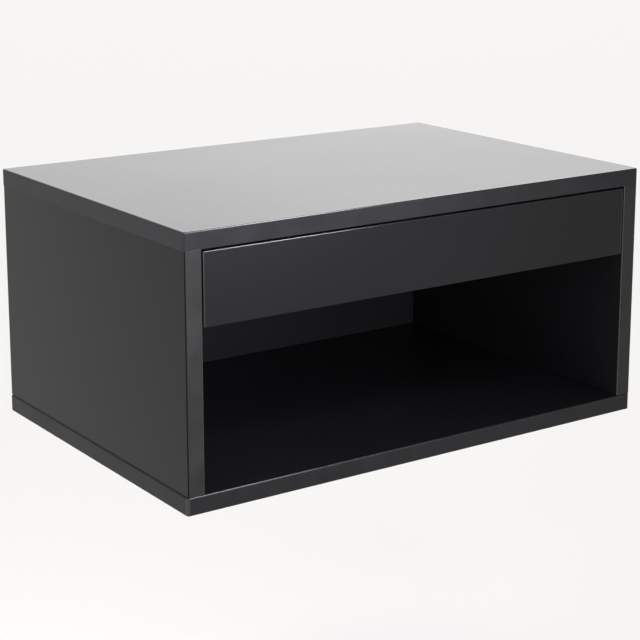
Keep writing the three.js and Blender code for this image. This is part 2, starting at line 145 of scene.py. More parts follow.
def lacquer(name, axis, face, cut_edge, ends=None, ior=1.28, face_rough=(0.295, 0.315), edge_tint=(0.985, 0.965, 1.10)):
    """Sprayed satin lacquer on a board whose faces look along axis. The faces
    are even; the edges, cut across the board, soak up more of the spray: they
    are a little duller and greyer, and waver slightly. ends, where given, is a
    lighter tone painted on the edges at the left and right: painted light,
    standing in for the light that falls on those ends."""
    m, nt, b = new_material(name)
    v = coords(nt)
    slow = noise(nt, v, 5.0, 2.0)
    fine = noise(nt, v, 140.0, 3.0)
    tc = node(nt, "ShaderNodeTexCoord")
    sep = node(nt, "ShaderNodeSeparateXYZ")
    nt.links.new(tc.outputs["Normal"], sep.inputs[0])
    flat = node(nt, "ShaderNodeMath", operation="ABSOLUTE")
    nt.links.new(sep.outputs["xyz".index(axis)], flat.inputs[0])
    edge = ramp(nt, flat.outputs[0], 0.90, 0.30, 0.0, 1.0)

    def blend(a, b, fac=edge):
        n = node(nt, "ShaderNodeMix", data_type="FLOAT")
        nt.links.new(fac, n.inputs[0])
        for k, x in ((2, a), (3, b)):
            if isinstance(x, float):
                n.inputs[k].default_value = x
            else:
                nt.links.new(x, n.inputs[k])
        return n.outputs[0]

    def mixed(fac, a, b):
        n = node(nt, "ShaderNodeMix", data_type="RGBA")
        nt.links.new(fac, n.inputs[0])
        nt.links.new(a, n.inputs[6])
        nt.links.new(b, n.inputs[7])
        return n.outputs[2]

    drift = ramp(nt, slow, 0.3, 0.7, 0.0, 1.0)
    mottle = ramp(nt, noise(nt, v, 38.0, 3.0, 0.55), 0.32, 0.68, 0.0, 1.0)
    tint = (0.985, 0.965, 1.10)
    face_colour = mix_colour(nt, drift, *(tuple(face * k * c for c in tint) for k in (0.93, 1.07)))
    edge_colour = mix_colour(nt, mottle, *(tuple(cut_edge * k * c for c in edge_tint) for k in (0.78, 1.22)))
    # painted light: the left and right edges get a lighter tone of their own
    if ends is not None:
        painted_light_end_colour = mix_colour(nt, mottle, *(tuple(ends * k * c for c in tint) for k in (0.92, 1.08)))
        side = node(nt, "ShaderNodeMath", operation="ABSOLUTE")
        nt.links.new(sep.outputs[0], side.inputs[0])
        edge_colour = mixed(ramp(nt, side.outputs[0], 0.5, 0.8, 0.0, 1.0), edge_colour, painted_light_end_colour)
    nt.links.new(mixed(edge, face_colour, edge_colour), b.inputs["Base Color"])
    rough = blend(ramp(nt, slow, 0.3, 0.7, *face_rough), ramp(nt, mottle, 0.0, 1.0, 0.42, 0.50))
    add = node(nt, "ShaderNodeMath", operation="ADD")
    nt.links.new(rough, add.inputs[0])
    nt.links.new(ramp(nt, fine, 0.3, 0.7, -0.006, 0.006), add.inputs[1])
    nt.links.new(add.outputs[0], b.inputs["Roughness"])
    b.inputs["IOR"].default_value = ior
    peel = node(nt, "ShaderNodeMath", operation="MULTIPLY")
    nt.links.new(noise(nt, v, 320.0, 1.0, 0.4), peel.inputs[0])
    peel.inputs[1].default_value = 0.02
    wave = node(nt, "ShaderNodeMath", operation="MULTIPLY")
    nt.links.new(noise(nt, v, 55.0, 2.0, 0.5), wave.inputs[0])
    nt.links.new(edge, wave.inputs[1])
    both_heights = node(nt, "ShaderNodeMath", operation="ADD")
    nt.links.new(peel.outputs[0], both_heights.inputs[0])
    nt.links.new(wave.outputs[0], both_heights.inputs[1])
    bump(nt, b, both_heights.outputs[0], 0.00012, 0.5)
    return m


def arris_lacquer(name, tone, rough, ior):
    """The same lacquer on the rounded arrises, which handling has polished."""
    m, nt, b = new_material(name)
    slow = noise(nt, coords(nt), 30.0, 3.0)
    nt.links.new(mix_colour(nt, slow, (tone * 0.9,) * 3, (tone * 1.1,) * 3), b.inputs["Base Color"])
    nt.links.new(ramp(nt, slow, 0.3, 0.7, *rough), b.inputs["Roughness"])
    b.inputs["IOR"].default_value = ior
    return m


def faced_board(name, dark, light, rough):
    """Melamine-faced board: a matt film pressed with a fine pearl texture."""
    m, nt, b = new_material(name)
    v = coords(nt)
    pearl = noise(nt, v, 900.0, 2.0, 0.6)
    slow = noise(nt, v, 9.0, 3.0)
    nt.links.new(mix_colour(nt, ramp(nt, pearl, 0.35, 0.65, 0.0, 1.0), dark, light), b.inputs["Base Color"])
    nt.links.new(ramp(nt, slow, 0.3, 0.7, rough[0], rough[1]), b.inputs["Roughness"])
    bump(nt, b, pearl, 0.00006, 0.55)
    return m


def rolled_steel(name, tone, rough, along=(900.0, 14.0, 900.0), bright=0.0):
    """Zinc-plated strip: drawn lines along its length and a patchy bloom."""
    m, nt, b = new_material(name)
    v = coords(nt)
    lines = noise(nt, coords(nt, along), 1.0, 2.0, 0.6)
    bloom = noise(nt, v, 60.0, 4.0, 0.6)
    hi = tuple(min(1.0, c * 1.12 + bright) for c in tone)
    lo = tuple(c * 0.86 for c in tone)
    nt.links.new(mix_colour(nt, ramp(nt, bloom, 0.35, 0.65, 0.0, 1.0), lo, hi), b.inputs["Base Color"])
    b.inputs["Metallic"].default_value = 1.0
    nt.links.new(ramp(nt, lines, 0.3, 0.7, rough[0], rough[1]), b.inputs["Roughness"])
    bump(nt, b, lines, 0.00003, 0.25)
    return m


def cast_zinc(name):
    m, nt, b = new_material(name)
    v = coords(nt)
    grain = noise(nt, v, 1500.0, 3.0, 0.6)
    nt.links.new(mix_colour(nt, grain, (0.40, 0.40, 0.39), (0.52, 0.52, 0.51)), b.inputs["Base Color"])
    b.inputs["Metallic"].default_value = 1.0
    nt.links.new(ramp(nt, grain, 0.3, 0.7, 0.42, 0.58), b.inputs["Roughness"])
    bump(nt, b, grain, 0.00005, 0.5)
    return m


def beech(name):
    m, nt, b = new_material(name)
    grain = noise(nt, coords(nt, (700.0, 700.0, 60.0)), 1.0, 4.0, 0.6)
    nt.links.new(mix_colour(nt, grain, (0.46, 0.29, 0.14), (0.64, 0.45, 0.26)), b.inputs["Base Color"])
    nt.links.new(ramp(nt, grain, 0.3, 0.7, 0.62, 0.78), b.inputs["Roughness"])
    bump(nt, b, grain, 0.0001, 0.5)
    return m


def moulded(name, dark, light, rough, scale=1100.0):
    """Moulded rubber or plastic with a fine spark-eroded grain."""
    m, nt, b = new_material(name)
    grain = noise(nt, coords(nt), scale, 3.0, 0.6)
    nt.links.new(mix_colour(nt, grain, dark, light), b.inputs["Base Color"])
    nt.links.new(ramp(nt, grain, 0.3, 0.7, rough[0], rough[1]), b.inputs["Roughness"])
    bump(nt, b, grain, 0.00005, 0.5)
    return m


# The last tone of the top and bottom boards is painted light: their left and right edges are painted lighter than the
# front edge.
LACQUER_TOP = lacquer("satin_black_lacquer_top", "z", 0.0080, 0.0150, 0.0275)
LACQUER_BASE = lacquer("satin_black_lacquer_base", "z", 0.0085, 0.0120, 0.0180)
SIDE_TINT = (1.02, 1.04, 1.00)
# Lit and shaded copies of one lacquer: the left board's face is painted far darker (painted shade) and its front edge
# lighter (painted light) than the right board's.
LACQUER_SIDES_LIT_AND_SHADED = {"left": lacquer("satin_black_lacquer_left_painted_light_and_shade", "x", 0.0010, 0.0210, edge_tint=SIDE_TINT),
                 "right": lacquer("satin_black_lacquer_right", "x", 0.0145, 0.0185, edge_tint=SIDE_TINT)}
LACQUER_FRONT = lacquer("satin_black_lacquer_front", "y", 0.0060, 0.0100)
# The shelf floor's copy of the bottom board's lacquer: its tone is set for how light falls inside the shelf (painted
# light); its IOR gives it more gloss.
LACQUER_SHELF_PAINTED_LIGHT = lacquer("satin_black_lacquer_shelf_painted_light", "z", 0.0100, 0.0100, None, 1.4)
# Painted light: the back board's inner face is painted a lighter grey to stand in for light reaching into the shelf;
# the rear face keeps the plain tone.
LACQUER_BACK_PAINTED_LIGHT = lacquer("satin_black_lacquer_back_painted_light", "y", 0.0250, 0.0250)
LACQUER_REAR = lacquer("satin_black_lacquer_rear", "y", 0.0100, 0.0120)
ARRIS = arris_lacquer("satin_black_lacquer_arris", 0.0060, (0.14, 0.18), 1.7)
ARRIS_DULL = arris_lacquer("satin_black_lacquer_arris_dull", 0.0060, (0.285, 0.32), 1.6)
# Painted shade: a dark, dull finish for the side boards' outer front corner, standing in for the shade along that
# corner.
PAINTED_SHADE_LINE = moulded("painted_shade_line", (0.003, 0.003, 0.003), (0.006, 0.006, 0.006), (0.60, 0.70))
PAINTED_SHADE_LINE.node_tree.nodes["Principled BSDF"].inputs["IOR"].default_value = 1.2
FACED = faced_board("matt_black_faced_board", (0.012, 0.012, 0.0125), (0.020, 0.020, 0.021), (0.46, 0.56))
ZINC = rolled_steel("zinc_plated_strip", (0.55, 0.56, 0.58), (0.34, 0.48))
SHEARED = rolled_steel("sheared_strip_end", (0.12, 0.12, 0.125), (0.46, 0.60), (600.0, 600.0, 600.0))
CAGE = rolled_steel("ball_cage_strip", (0.50, 0.50, 0.51), (0.30, 0.44))
BALL = rolled_steel("polished_ball_steel", (0.74, 0.74, 0.75), (0.08, 0.14), (200.0, 200.0, 200.0))
SCREW = rolled_steel("zinc_plated_screw", (0.58, 0.58, 0.59), (0.29, 0.42), (600.0, 600.0, 600.0))
OXIDE = rolled_steel("black_oxide_screw", (0.055, 0.055, 0.058), (0.30, 0.46), (600.0, 600.0, 600.0))
CAST = cast_zinc("die_cast_zinc")
BEECH = beech("fluted_beech")
RUBBER = moulded("bumper_rubber", (0.010, 0.010, 0.010), (0.018, 0.018, 0.018), (0.60, 0.78))


# --------------------------------------------------------------- mesh building

def arris(n):
    """1 for a face on an upper or upright front arris, which handling polishes."""
    return int(max(abs(c) for c in n) < 0.995 and n.z > -0.05 and n.y < -0.1)


def piece(name, bm, materials, body, nodes, weighted=True, sharp=32.0, dress=None):
    """A finished piece from a bmesh in millimetres: it rides on its body and
    stands for its CAD nodes. dress picks a face's material by its normal."""
    bmesh.ops.scale(bm, vec=(MM, MM, MM), verts=bm.verts)
    bmesh.ops.recalc_face_normals(bm, faces=bm.faces)
    me = bpy.data.meshes.new(name)
    for f in bm.faces:
        f.smooth = True
    bm.to_mesh(me)
    bm.free()
    me.set_sharp_from_angle(angle=math.radians(sharp))
    ob = bpy.data.objects.new(name, me)
    for m in materials:
        me.materials.append(m)
    if dress is not None:
        for f in me.polygons:
            f.material_index = dress(f.normal)
    SCENE.collection.objects.link(ob)
    if weighted:
        wn = ob.modifiers.new("weighted_normals", "WEIGHTED_NORMAL")
        wn.keep_sharp = True
        wn.weight = 80
    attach(ob, body)
    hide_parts(*nodes)
    return ob


def eased_box(lo, hi, ease, plan=None, axis=2, seg=4, low=None, high=None):
    """A board with rounded edges. plan is the radius of the four edges that run
    along axis; low and high are those round its two ends, where they are not
    eased like the rest, such as the crisp ones that meet another board."""
    bm = bmesh.new()
    bmesh.ops.create_cube(bm, size=1.0)
    size = Vector(hi) - Vector(lo)
    mid = (Vector(hi) + Vector(lo)) / 2
    for v in bm.verts:
        v.co = Vector((v.co.x * size.x, v.co.y * size.y, v.co.z * size.z)) + mid
    if plan is None:
        bmesh.ops.bevel(bm, geom=list(bm.edges), offset=ease, offset_type="OFFSET", segments=seg,
                        profile=0.5, affect="EDGES", clamp_overlap=True)
        return bm
    upright = [e for e in bm.edges if abs((e.verts[0].co - e.verts[1].co)[axis]) > 1e-6]
    bmesh.ops.bevel(bm, geom=upright, offset=plan, offset_type="OFFSET", segments=seg + 2,
                    profile=0.5, affect="EDGES", clamp_overlap=True)
    for at, size in ((lo[axis], low), (hi[axis], high)):
        rim = [e for e in bm.edges if all(abs(v.co[axis] - at) < 1e-6 for v in e.verts)]
        bmesh.ops.bevel(bm, geom=rim, offset=ease if size is None else size, offset_type="OFFSET",
                        segments=seg, profile=0.5, affect="EDGES", clamp_overlap=True)
    return bm


def turn(bm, axis, direction, at):
    """A shape made along +Z from 0, laid along an axis and moved to at."""
    if direction < 0:
        bmesh.ops.rotate(bm, cent=(0, 0, 0), matrix=Matrix.Rotation(math.pi, 3, "X"), verts=bm.verts)
    if axis == "x":
        bmesh.ops.rotate(bm, cent=(0, 0, 0), matrix=Matrix.Rotation(math.pi / 2, 3, "Y"), verts=bm.verts)
    if axis == "y":
        bmesh.ops.rotate(bm, cent=(0, 0, 0), matrix=Matrix.Rotation(-math.pi / 2, 3, "X"), verts=bm.verts)
    bmesh.ops.translate(bm, vec=at, verts=bm.verts)
    return bm


def lathe(profile, axis="z", direction=1, at=(0, 0, 0), sides=32, flutes=None):
    """A turned solid from [radius, height] pairs that start and end on the
    axis. flutes is (count, depth) for a grooved rod."""
    bm = bmesh.new()
    rings = []
    for r, h in profile:
        if r < 1e-9:
            rings.append([bm.verts.new((0, 0, h))])
            continue
        ring = []
        for k in range(sides):
            a = 2 * math.pi * k / sides
            rr = r
            if flutes and abs(r - flutes[2]) < 1e-6:
                rr = r - flutes[1] * (0.5 - 0.5 * math.cos(a * flutes[0]))
            ring.append(bm.verts.new((rr * math.cos(a), rr * math.sin(a), h)))
        rings.append(ring)
    for a, b in zip(rings, rings[1:]):
        n = max(len(a), len(b))
        for k in range(n):
            quad = [a[k % len(a)], a[(k + 1) % len(a)], b[(k + 1) % len(b)], b[k % len(b)]]
            quad = [v for i, v in enumerate(quad) if v not in quad[:i]]
            if len(quad) > 2:
                bm.faces.new(quad)
    return turn(bm, axis, direction, at)


def box_mesh(lo, hi):
    bm = bmesh.new()
    bmesh.ops.create_cube(bm, size=1.0)
    for v in bm.verts:
        v.co = Vector(((lo[i] + hi[i]) / 2 + v.co[i] * (hi[i] - lo[i]) for i in range(3)))
    return bm


def rod(axis, r, a, b, at, sides=32):
    lo, hi = min(a, b), max(a, b)
    p, q = at
    at3 = {"x": (lo, p, q), "y": (p, lo, q), "z": (p, q, lo)}[axis]
    return lathe([(0, 0), (r, 0), (r, hi - lo), (0, hi - lo)], axis, 1, at3, sides)


def box_between(a, b):
    return box_mesh([min(p, q) for p, q in zip(a, b)], [max(p, q) for p, q in zip(a, b)])


def cut(bm, tools):
    """Takes the tools' solids away from a bmesh, exactly."""
    me = bpy.data.meshes.new("work")
    bmesh.ops.recalc_face_normals(bm, faces=bm.faces)
    bm.to_mesh(me)
    bm.free()
    ob = bpy.data.objects.new("work", me)
    SCENE.collection.objects.link(ob)
    gone = []
    for t in tools:
        bmesh.ops.recalc_face_normals(t, faces=t.faces)
        tm = bpy.data.meshes.new("tool")
        t.to_mesh(tm)
        t.free()
        to = bpy.data.objects.new("tool", tm)
        SCENE.collection.objects.link(to)
        gone.append(to)
        mod = ob.modifiers.new("cut", "BOOLEAN")
        mod.operation = "DIFFERENCE"
        mod.solver = "EXACT"
        mod.object = to
    dg = bpy.context.evaluated_depsgraph_get()
    out = bpy.data.meshes.new_from_object(ob.evaluated_get(dg))
    result = bmesh.new()
    result.from_mesh(out)
    for o in (ob, *gone):
        m = o.data
        bpy.data.objects.remove(o)
        bpy.data.meshes.remove(m)
    bpy.data.meshes.remove(out)
    bmesh.ops.remove_doubles(result, verts=result.verts, dist=1e-4)
    return result


def join(*parts):
    """One bmesh of several, with each part's faces on its own material."""
    out = bmesh.new()
    for k, p in enumerate(parts):
        bmesh.ops.recalc_face_normals(p, faces=p.faces)
        me = bpy.data.meshes.new("part")
        p.to_mesh(me)
        p.free()
        before = len(out.faces)
        out.from_mesh(me)
        out.faces.ensure_lookup_table()
        for f in out.faces[before:]:
            f.material_index = k
        bpy.data.meshes.remove(me)
    return out


def arc(cu, cz, r, a0, a1, steps):
    return [(cu + r * math.cos(math.radians(a0 + (a1 - a0) * i / steps)),
             cz + r * math.sin(math.radians(a0 + (a1 - a0) * i / steps))) for i in range(steps + 1)]


def both(top):
    return [(u, -z) for u, z in reversed(top)] + list(top)


def strip(line, t, y0, y1, side, z0=SLIDE_Z, ends=0.0):
    """A channel rolled from strip: its centre line of (u, z) points is given a
    thickness and runs from y0 to y1. u is from the side panel's inner face."""
    left, right = [], []
    n = len(line)
    for i in range(n):
        a, b, c = line[max(i - 1, 0)], line[i], line[min(i + 1, n - 1)]
        d1 = Vector((b[0] - a[0], b[1] - a[1]))
        d2 = Vector((c[0] - b[0], c[1] - b[1]))
        if i == 0:
            d1 = d2.copy()
        if i == n - 1:
            d2 = d1.copy()
        d1.normalize()
        d2.normalize()
        nrm = Vector((-(d1.y + d2.y), d1.x + d2.x))
        nrm.normalize()
        mit = (t / 2) / max(math.sqrt((1 + d1.dot(d2)) / 2), 0.3)
        left.append((b[0] + nrm.x * mit, b[1] + nrm.y * mit))
        right.append((b[0] - nrm.x * mit, b[1] - nrm.y * mit))
    outline = left + right[::-1]
    bm = bmesh.new()
    front = [bm.verts.new((side * (IN_X - u), y0, z + z0)) for u, z in outline]
    back = [bm.verts.new((side * (IN_X - u), y1, z + z0)) for u, z in outline]
    m = len(outline)
    bm.faces.new(front)
    bm.faces.new(back[::-1])
    for k in range(m):
        bm.faces.new((front[k], back[k], back[(k + 1) % m], front[(k + 1) % m]))
    return bm


# --------------------------------------------------------------------- carcass

def panel_tools(end):
    tools = []
    for _, s in SIDES:
        for y in CAM_Y:
            if end > 0:
                tools.append(rod("z", 3.0, IN_Z - 1, IN_Z + 12, (s * BOLT_X, y)))
            else:
                tools.append(lathe([(0, -1), (5.9, -1), (5.9, 0), (3.9, 2.4), (3.9, 17), (0, 17)],
                                   "z", 1, (s * BOLT_X, y, -H / 2), 40))
        tools.append(rod("z", 4.2, end * (IN_Z - 1), end * (IN_Z + 10.5), (s * BOLT_X, DOWEL_Y)))
    return tools


piece("top_board", cut(eased_box((-W / 2, FRONT_Y, IN_Z), (W / 2, 0, H / 2), EASE, PLAN_R, low=CRISP), panel_tools(1)),
      [LACQUER_TOP, ARRIS], "cabinet", ["top_panel"], dress=lambda n: arris(n) if n.z > 0.1 else 0)
# The bottom board's up-facing faces take the shelf copy with its painted light.
piece("bottom_board", cut(eased_box((-W / 2, FRONT_Y, -H / 2), (W / 2, 0, -IN_Z), EASE, PLAN_R), panel_tools(-1)),
      [LACQUER_BASE, ARRIS_DULL, LACQUER_SHELF_PAINTED_LIGHT, ARRIS], "cabinet", ["bottom_panel"],
      dress=lambda n: 2 if n.z > 0.995 else arris(n) * (3 if abs(n.z) < 0.3 else 1))

for label, s in SIDES:
    lo_x, hi_x = sorted((s * IN_X, s * (IN_X + BOARD)))
    tools = []
    for e in (1, -1):
        for y in CAM_Y:
            if e > 0:
                tools.append(rod("x", 7.55, s * (IN_X - 1), s * (IN_X + 12.8), (y, CAM_Z), 48))
                tools.append(rod("z", 3.9, IN_Z + 1, CAM_Z + 3, (s * BOLT_X, y)))
            else:
                tools.append(rod("z", 2.8, -IN_Z - 1, -IN_Z + 35, (s * BOLT_X, y)))
        tools.append(rod("z", 4.2, e * (IN_Z + 1), e * (IN_Z - 20.5), (s * BOLT_X, DOWEL_Y)))
        tools.append(rod("x", 4.2, s * (IN_X - 1), s * (IN_X + 10.5), (-BOARD / 2, e * BACK_DOWEL_Z)))
    for y in SCREW_Y:
        tools.append(rod("x", 2.0, s * (IN_X - 1), s * (IN_X + 12), (y, SLIDE_Z)))
    # Painted shade: the outer upright front arris of each side board takes the dark line finish.
    piece(f"{label}_side_board", cut(eased_box((lo_x, FRONT_Y, -IN_Z), (hi_x, 0, IN_Z), 0.85, 0.9, high=CRISP), tools),
          [LACQUER_SIDES_LIT_AND_SHADED[label], ARRIS, PAINTED_SHADE_LINE], "cabinet", [f"{label}_side_panel"],
          dress=lambda n, out=s: 2 if n.x * out > 0.1 and n.y < -0.1 and abs(n.z) < 0.2 else arris(n))

tools = [rod("y", 3.5, -17, 1, (x, WALL_Z)) for x in WALL_X]
for _, s in SIDES:
    for e in (1, -1):
        tools.append(rod("x", 4.2, s * (IN_X + 1), s * (IN_X - 20.5), (-BOARD / 2, e * BACK_DOWEL_Z)))
# The inner face takes the painted-light lacquer, the rear face (normal +Y) the plain one.
piece("back_board", cut(eased_box((-IN_X, -BOARD, -IN_Z), (IN_X, 0, IN_Z), 1.0, seg=3), tools),
      [LACQUER_BACK_PAINTED_LIGHT, LACQUER_REAR], "cabinet", ["back_panel"], dress=lambda n: int(n.y > 0.9))

# -------------------------------------------------------------------- fittings

DOWEL = [(0, 0), (2.9, 0), (4.0, 1.2), (4.0, 27.8), (2.9, 29), (0, 29)]


def thread(r_core, r_top, h0, h1, pitch):
    """Thread crests for a turned profile, from h0 to h1."""
    out = []
    n = max(1, int((h1 - h0) / pitch))
    step = (h1 - h0) / n
    for k in range(n):
        b = h0 + k * step
        out += [(r_core, b), (r_core, b + step * 0.35), (r_top, b + step * 0.62), (r_top, b + step * 0.72)]
    out.append((r_core, h1))
    return out


for label, s in SIDES:
    cx = s * BOLT_X
    fx = s * (IN_X + 0.2)
    for k, y in enumerate(CAM_Y):
        tag = f"{label}_{PLACES[k]}"
        bolt = [(0, 0), (1.4, 0)] + thread(2.1, 2.75, 1.4, 11.4, 1.6) + [
            (3.4, 11.5), (3.4, 24.6), (1.8, 25.6), (1.8, 32.0), (3.1, 33.0), (3.1, 34.6), (1.9, 35.8), (0, 35.8)]
        piece(f"cam_dowel_bolt_{tag}", lathe(bolt, "z", -1, (cx, y, IN_Z + 11.4), 28),
              [SCREW], "cabinet", [f"cam_bolt_{tag}"])
        disc = lathe([(0, 0), (6.7, 0), (7.3, 0.5), (7.3, 12.3), (0, 12.3)], "x", s, (fx, y, CAM_Z), 48)
        lock = cut(disc, [
            box_between((cx - 2.3, y - 2.3, CAM_Z), (cx + 2.3, y + 2.3, CAM_Z + 8.3)),
            box_between((cx - 3.5, y - 3.5, CAM_Z - 3.6), (cx + 3.5, y + 3.5, CAM_Z + 4.4)),
            box_between((cx - 3.5, y, CAM_Z - 3.5), (cx + 3.5, y + 8.3, CAM_Z + 3.5)),
            box_between((fx - s, y - 0.8, CAM_Z - 3.4), (fx + s * 3.2, y + 0.8, CAM_Z + 3.4)),
            box_between((fx - s, y - 3.4, CAM_Z - 0.8), (fx + s * 3.2, y + 3.4, CAM_Z + 0.8))])
        piece(f"cam_disc_{tag}", lock, [CAST], "cabinet", [f"cam_lock_{tag}"])
        base = [(0, 0), (5.0, 0), (5.1, 0.1), (5.1, 0.3), (3.45, 2.4), (3.45, 15.1), (1.9, 15.6)] + thread(
            1.9, 2.45, 15.7, 47.5, 2.2) + [(0.3, 50), (0, 50)]
        piece(f"base_bolt_{tag}", cut(lathe(base, "z", 1, (cx, y, -H / 2 + 0.2), 40),
                                      [rod("z", 2.3, -H / 2 - 1, -H / 2 + 3.4, (cx, y), 6)]),
              [SCREW], "cabinet", [f"base_screw_{tag}"])
    for e, name in ((1, "top"), (-1, "bottom")):
        piece(f"beech_dowel_{label}_{name}",
              lathe(DOWEL, "z", -e, (cx, DOWEL_Y, e * (IN_Z + 9.8)), 96, (24, 0.28, 4.0)),
              [BEECH], "cabinet", [f"side_dowel_{label}_{name}"], sharp=60.0)
    for e, name in ((1, "upper"), (-1, "lower")):
        piece(f"beech_back_dowel_{label}_{name}",
              lathe(DOWEL, "x", -s, (s * (IN_X + 9.8), -BOARD / 2, e * BACK_DOWEL_Z), 96, (24, 0.28, 4.0)),
              [BEECH], "cabinet", [f"back_dowel_{label}_{name}"], sharp=60.0)

# ---------------------------------------------------------------------- drawer

piece("drawer_face_board",
      cut(eased_box((-FRONT_X, FRONT_Y, FRONT_LOW), (FRONT_X, FRONT_REAR_Y, FRONT_TOP), 1.0),
          [rod("y", 1.9, FRONT_REAR_Y + 1, FRONT_REAR_Y - 10.6, (x, 78)) for x in (-120, 120)]),
      [LACQUER_FRONT, ARRIS], "drawer", ["drawer_front"], dress=arris)

for label, s in SIDES:
    lo_x, hi_x = sorted((s * BOX_IN_X, s * BOX_X))
    tools = [box_between((s * (BOX_IN_X - 1), BOX_F - 1, BASE_LOW - 0.3), (s * (BOX_IN_X + 5), BOX_B + 1, BASE_LOW + BASE_T + 0.3))]
    tools += [rod("x", 2.0, s * (BOX_X + 1), s * (BOX_X - 10.8), (y, SLIDE_Z)) for y in SCREW_Y]
    piece(f"drawer_{label}_board", cut(eased_box((lo_x, BOX_F, BOX_LOW), (hi_x, BOX_B, BOX_TOP), 0.75, seg=3), tools),
          [FACED], "drawer", [f"drawer_{label}_side"])

piece("drawer_inner_board",
      cut(eased_box((-BOX_IN_X, BOX_F, 52), (BOX_IN_X, BOX_F + 12, BOX_TOP), 0.75, seg=3), [
          box_between((-BOX_IN_X - 1, BOX_F + 7, BASE_LOW - 0.3), (BOX_IN_X + 1, BOX_F + 13, BASE_LOW + BASE_T + 0.3)),
          *[rod("y", 2.2, BOX_F - 1, BOX_F + 13, (x, 78)) for x in (-120, 120)]]),
      [FACED], "drawer", ["drawer_inner_front"])
piece("drawer_rear_board", eased_box((-BOX_IN_X, BOX_B - 12, BASE_LOW + BASE_T + 0.3), (BOX_IN_X, BOX_B, BOX_TOP), 0.75, seg=3),
      [FACED], "drawer", ["drawer_back"])
piece("drawer_base_board", eased_box((-BOX_IN_X - 4.7, BOX_F + 7.3, BASE_LOW), (BOX_IN_X + 4.7, BOX_B - 0.25, BASE_LOW + BASE_T), 0.2, seg=2),
      [FACED], "drawer", ["drawer_bottom"])


def pan_screw(axis, direction, seat, r, long, head_r, head_h):
    """A pan-head screw: domed head, cross recess, threaded shank."""
    prof = [(0, -head_h), (head_r * 0.45, -head_h)]
    prof += [(head_r * (0.45 + 0.55 * math.sin(math.radians(a))), -head_h * (0.35 + 0.65 * math.cos(math.radians(a))))
             for a in (20, 40, 60, 80)]
    prof += [(head_r, -head_h * 0.3), (head_r, 0), (r * 0.78, 0)]
    prof += thread(r * 0.72, r, 0.6, long - 2.4, 1.4) + [(0.15, long), (0, long)]
    s = lathe(prof, axis, direction, seat, 36)
    k = "xyz".index(axis)
    tools = []
    for n in (0, 1):
        lo, hi = list(seat), list(seat)
        for m, i in enumerate([j for j in range(3) if j != k]):
            half = head_r * 0.48 if m == n else 0.42
            lo[i] -= half
            hi[i] += half
        a, b = seat[k] - direction * (head_h + 0.5), seat[k] - direction * head_h * 0.25
        lo[k], hi[k] = min(a, b), max(a, b)
        tools.append(box_mesh(lo, hi))
    return cut(s, tools)


for label, x in (("left", -120.0), ("right", 120.0)):
    piece(f"face_screw_{label}", pan_screw("y", -1, (x, BOX_F + 12.05, 78.0), 1.7, 22, 4.0, 2.4),
          [OXIDE], "drawer", [f"drawer_front_screw_{label}"])

# ---------------------------------------------------------------------- slides

OUT_U, MID_U, INN_U = 0.15 + STEEL / 2, 3.2, 13 - 0.15 - STEEL / 2
OUTER = both(arc(OUT_U + 1.5, 15.4, 1.5, 180, 90, 6) + arc(8.8, 15.4, 1.5, 90, 0, 6) + [(10.3, 14.3)])
MIDDLE = both(arc(MID_U + 1.3, 10.9, 1.3, 180, 90, 6) + arc(8.3, 11.1, 1.1, 90, 20, 5))
INNER = both(arc(INN_U - 1.4, 6.4, 1.4, 0, 90, 6) + arc(6.4, 6.9, 0.9, 90, 150, 5))
CAGE_A = both(arc(2.9, 13.65, 0.9, 180, 90, 5) + [(8.6, 14.55)])
CAGE_B = both(arc(5.15, 9.2, 0.8, 180, 90, 5) + [(8.6, 10.0)])


def sheared(n):
    """1 for the bare ends where a plated strip was cut to length."""
    return int(abs(n.y) > 0.9)


def slot_tool(axis_u, y, half_y, half_z, side, u0, u1):
    """A long hole with round ends through a rail's web."""
    pts = arc(0, 0, half_z, -90, 90, 8)
    outline = [(half_y - half_z + a, b) for a, b in pts] + [(-(half_y - half_z) - a, -b) for a, b in pts]
    bm = bmesh.new()
    xs = sorted((side * (IN_X - u0), side * (IN_X - u1)))
    low = [bm.verts.new((xs[0], y + a, SLIDE_Z + b)) for a, b in outline]
    high = [bm.verts.new((xs[1], y + a, SLIDE_Z + b)) for a, b in outline]
    bm.faces.new(low[::-1])
    bm.faces.new(high)
    m = len(outline)
    for k in range(m):
        bm.faces.new((low[k], low[(k + 1) % m], high[(k + 1) % m], high[k]))
    return bm


def balls(side, u, z, r, rows):
    bm = bmesh.new()
    count = 8
    for e in (1, -1):
        for k in range(count):
            y = CAGE_Y0 + 10 + k * (CAGE_Y1 - CAGE_Y0 - 20) / (count - 1)
            bmesh.ops.create_uvsphere(bm, u_segments=16, v_segments=10, radius=r,
                                      matrix=Matrix.Translation((side * (IN_X - u), y, SLIDE_Z + e * z)))
    return bm


